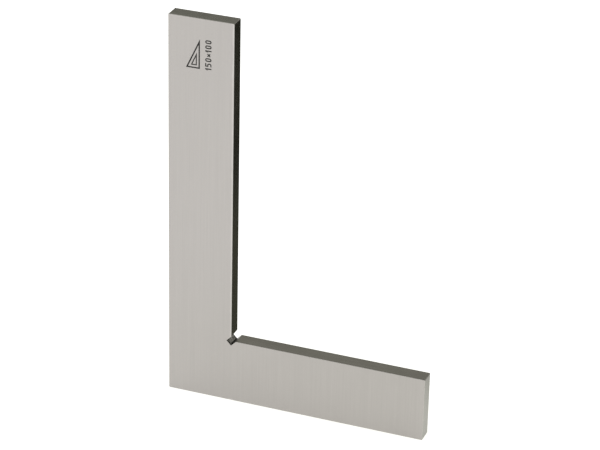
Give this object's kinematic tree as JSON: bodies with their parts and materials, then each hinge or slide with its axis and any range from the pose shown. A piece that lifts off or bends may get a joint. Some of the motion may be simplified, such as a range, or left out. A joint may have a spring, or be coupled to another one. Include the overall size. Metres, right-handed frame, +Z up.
{
  "type": "flat square",
  "caption": "Flat precision square: an L-shaped plate of ground steel with chamfered edges and a diagonal relief slot in its inside corner.",
  "frame": {"origin": "middle of the bottom of the bounding box, on the outer edge of the short leg, midway through the thickness", "axes": "the square stands on its short leg: +Z runs up the long leg, +X runs along the short leg from the heel to its tip, and -Y is the outward normal of the marked front face"},
  "size_m": [0.1, 0.006, 0.15],
  "materials": {
    "ground_steel": "finely ground hardened steel: satin broad faces with grinding lines along the long leg, brighter lapped edges, a dark etched mark near the tip of the long leg on the front face"
  },
  "bodies": {
    "root": {"square_body": "ground_steel"}
  },
  "joints": []
}
